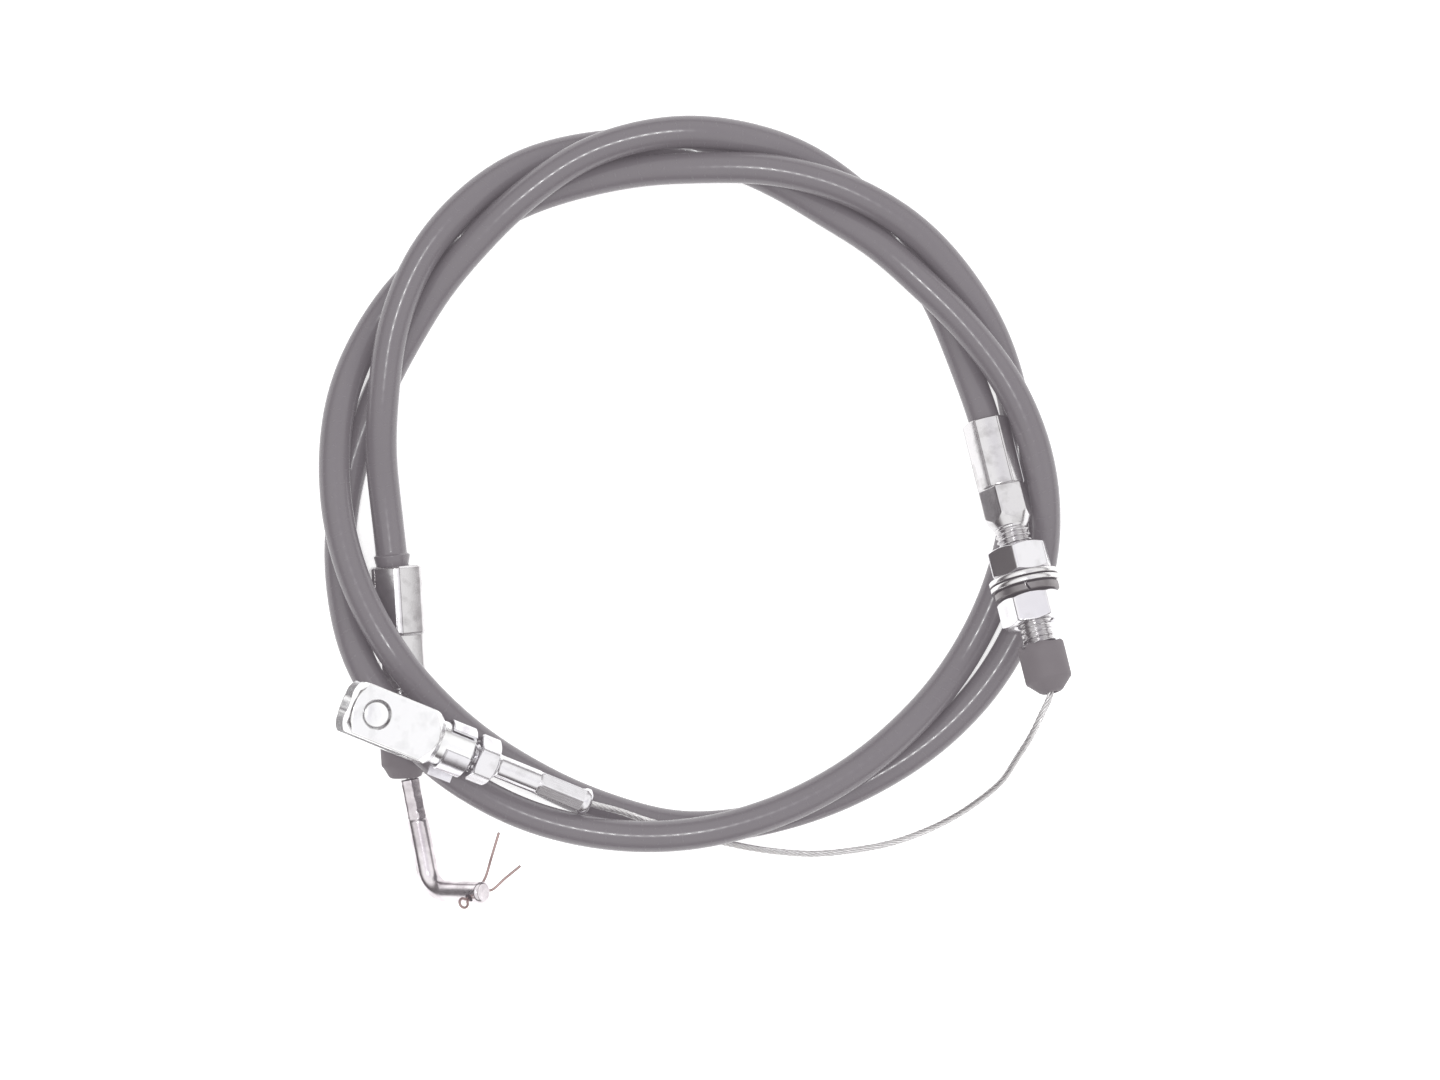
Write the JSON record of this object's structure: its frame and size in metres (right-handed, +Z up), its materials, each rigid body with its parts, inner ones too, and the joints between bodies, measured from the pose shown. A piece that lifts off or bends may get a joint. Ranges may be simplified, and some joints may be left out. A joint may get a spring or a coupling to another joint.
{
  "type": "throttle cable",
  "caption": "Coiled black throttle cable with a bent pull rod on one end, a threaded bulkhead fitting and a fork head on the other.",
  "frame": {"origin": "middle of the part's footprint, on the plane that it lies on", "axes": "+Z up from the plane that it lies on, +Y towards the top of the coil, away from the rod and the fork head"},
  "size_m": [0.171, 0.1804, 0.0389],
  "materials": {
    "black_pvc": "semi-gloss dark sheath",
    "armour_steel": "plain wound wire",
    "liner_nylon": "natural plastic",
    "cable_steel": "stranded wire",
    "zinc_plated": "bright zinc plating",
    "washer_zinc": "bright zinc plating",
    "spring_steel": "dark spring steel",
    "rod_steel": "plain drawn steel",
    "cotter_steel": "brownish plated wire",
    "boot_rubber": "matt dark rubber"
  },
  "bodies": {
    "conduit": {"conduit_jacket": "black_pvc", "conduit_armour": "armour_steel", "conduit_liner": "liner_nylon", "inner_cable": "cable_steel", "left_ferrule": "zinc_plated", "left_boot": "boot_rubber", "right_ferrule": "zinc_plated", "bulkhead_nut_upper": "zinc_plated", "flat_washer_upper": "washer_zinc", "flat_washer_lower": "washer_zinc", "spring_washer": "spring_steel", "bulkhead_nut_lower": "zinc_plated", "right_boot": "boot_rubber", "cable_terminal": "zinc_plated", "terminal_nut": "zinc_plated", "fork_head": "zinc_plated", "clevis_pin": "zinc_plated", "pin_clip": "spring_steel"},
    "rod": {"throttle_rod": "rod_steel", "rod_cable_tail": "cable_steel", "cotter_pin": "cotter_steel"}
  },
  "joints": [
    {"name": "rod_slide", "type": "slide", "parent": "conduit", "child": "rod", "axis": [0.0593, -0.9981, -0.0192], "range_m": [0, 0.03]}
  ]
}
